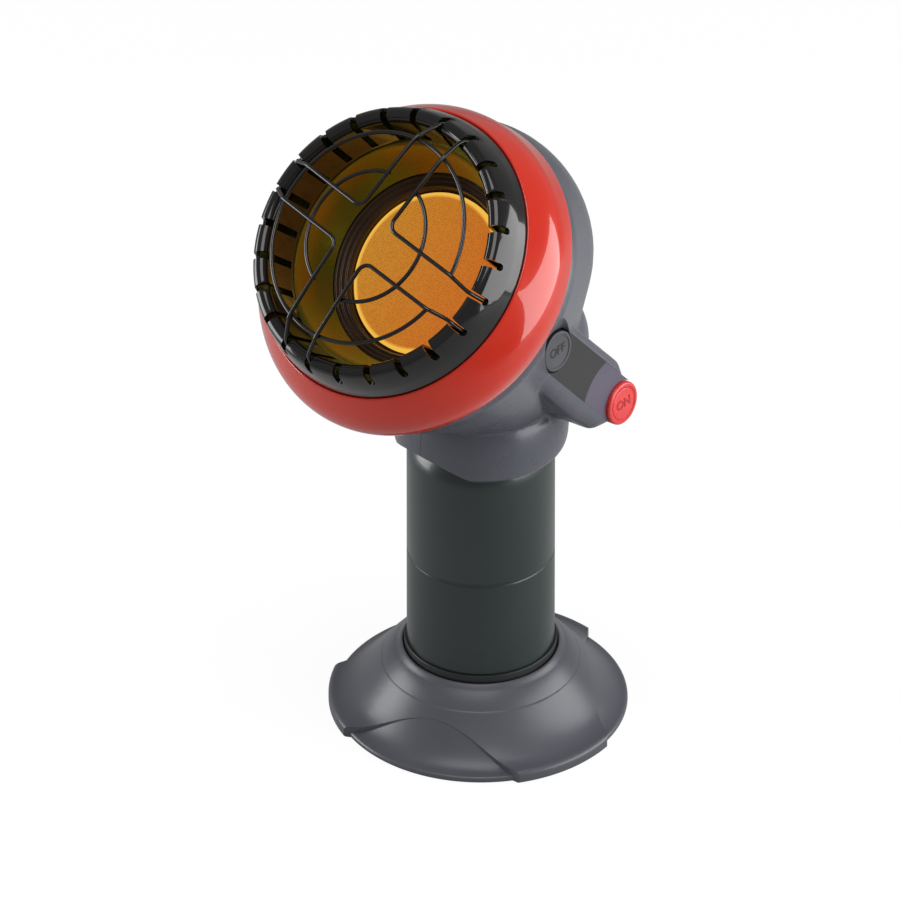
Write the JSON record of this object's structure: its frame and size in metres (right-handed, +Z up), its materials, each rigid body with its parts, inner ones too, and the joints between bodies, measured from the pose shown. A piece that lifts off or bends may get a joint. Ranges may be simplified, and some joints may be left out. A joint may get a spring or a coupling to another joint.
{
  "type": "portable propane heater",
  "caption": "Radiant propane heater: a tilted round burner head with a slotted rim and wire guard on a green fuel cylinder in a bell-shaped foot.",
  "frame": {"origin": "centre of the foot's underside, on the floor and on the fuel cylinder's axis", "axes": "+Z up along the fuel cylinder; the burner looks towards -Y and 45 degrees up; +X is the side with the control arm"},
  "size_m": [0.226, 0.2668, 0.4839],
  "materials": {
    "foot_grey": "satin moulded plastic",
    "boot_black": "matt",
    "tank_green": "semi-gloss paint",
    "brass": "turned",
    "seal_rubber": "matt",
    "cast_alloy": "cast and machined",
    "plated_steel": "zinc plated",
    "housing_grey": "semi-gloss moulded plastic",
    "screw_steel": "black zinc",
    "ring_red": "high-gloss paint",
    "rim_black": "gloss enamel",
    "guard_black": "satin enamel",
    "reflector_steel": "polished",
    "rim_dark": "heat-darkened",
    "tile_ceramic": "glowing porous ceramic",
    "gasket_fibre": "ceramic fibre",
    "copper_tube": "drawn tube",
    "switch_black": "matt",
    "igniter_ceramic": "glazed",
    "lead_red": "silicone sleeve",
    "label_dark": "bare printed film",
    "button_grey": "satin",
    "button_red": "gloss",
    "spring_steel": "bright wire"
  },
  "bodies": {
    "foot": {"base_foot": "foot_grey"},
    "cylinder": {"foot_boot": "boot_black", "fuel_cylinder": "tank_green", "outlet_valve": "brass", "valve_core": "brass", "relief_valve": "brass"},
    "seal": {"inlet_seal": "seal_rubber"},
    "head": {"regulator": "cast_alloy", "regulator_plate": "plated_steel", "housing_left": "housing_grey", "housing_right": "housing_grey", "housing_screws": "screw_steel", "front_ring": "ring_red", "slotted_rim": "rim_black", "wire_guard": "guard_black", "reflector": "reflector_steel", "burner_rim": "rim_dark", "ceramic_tile": "tile_ceramic", "tile_gasket": "gasket_fibre", "plenum": "plated_steel", "mixing_tube": "plated_steel", "injector": "brass", "gas_inlet_tube": "copper_tube", "gas_outlet_tube": "copper_tube", "valve_block": "cast_alloy", "pilot_bracket": "plated_steel", "pilot_burner": "brass", "thermocouple": "copper_tube", "igniter_electrode": "igniter_ceramic", "thermocouple_lead": "copper_tube", "igniter_lead": "lead_red", "piezo_igniter": "switch_black", "tip_switch": "switch_black", "label_panel": "label_dark", "off_spring": "spring_steel", "on_spring": "spring_steel"},
    "on_key": {"on_button": "button_red"},
    "off_key": {"off_button": "button_grey"}
  },
  "joints": [
    {"name": "cylinder_lift", "type": "slide", "parent": "foot", "child": "cylinder", "axis": [0, 0, 1], "range_m": [0, 0.05]},
    {"name": "head_rise", "type": "slide", "parent": "cylinder", "child": "seal", "axis": [0, 0, 1], "range_m": [0, 0.0095]},
    {"name": "head_turn", "type": "hinge", "parent": "seal", "child": "head", "pos_m": [0, 0, 0.25], "axis": [0, 0, 1], "range_deg": [0, 2520]},
    {"name": "on_press", "type": "slide", "parent": "head", "child": "on_key", "axis": [-0.9925, -0.0929, -0.0788], "range_m": [0, 0.005], "stiffness_N_per_m": 900, "deforming": ["on_spring"]},
    {"name": "off_press", "type": "slide", "parent": "head", "child": "off_key", "axis": [-0.9925, -0.0929, -0.0788], "range_m": [0, 0.003], "stiffness_N_per_m": 900, "deforming": ["off_spring"]}
  ],
  "couplings": [
    {"joint": "head_rise", "follows": "head_turn", "m_per_rad": 0.00020213}
  ]
}
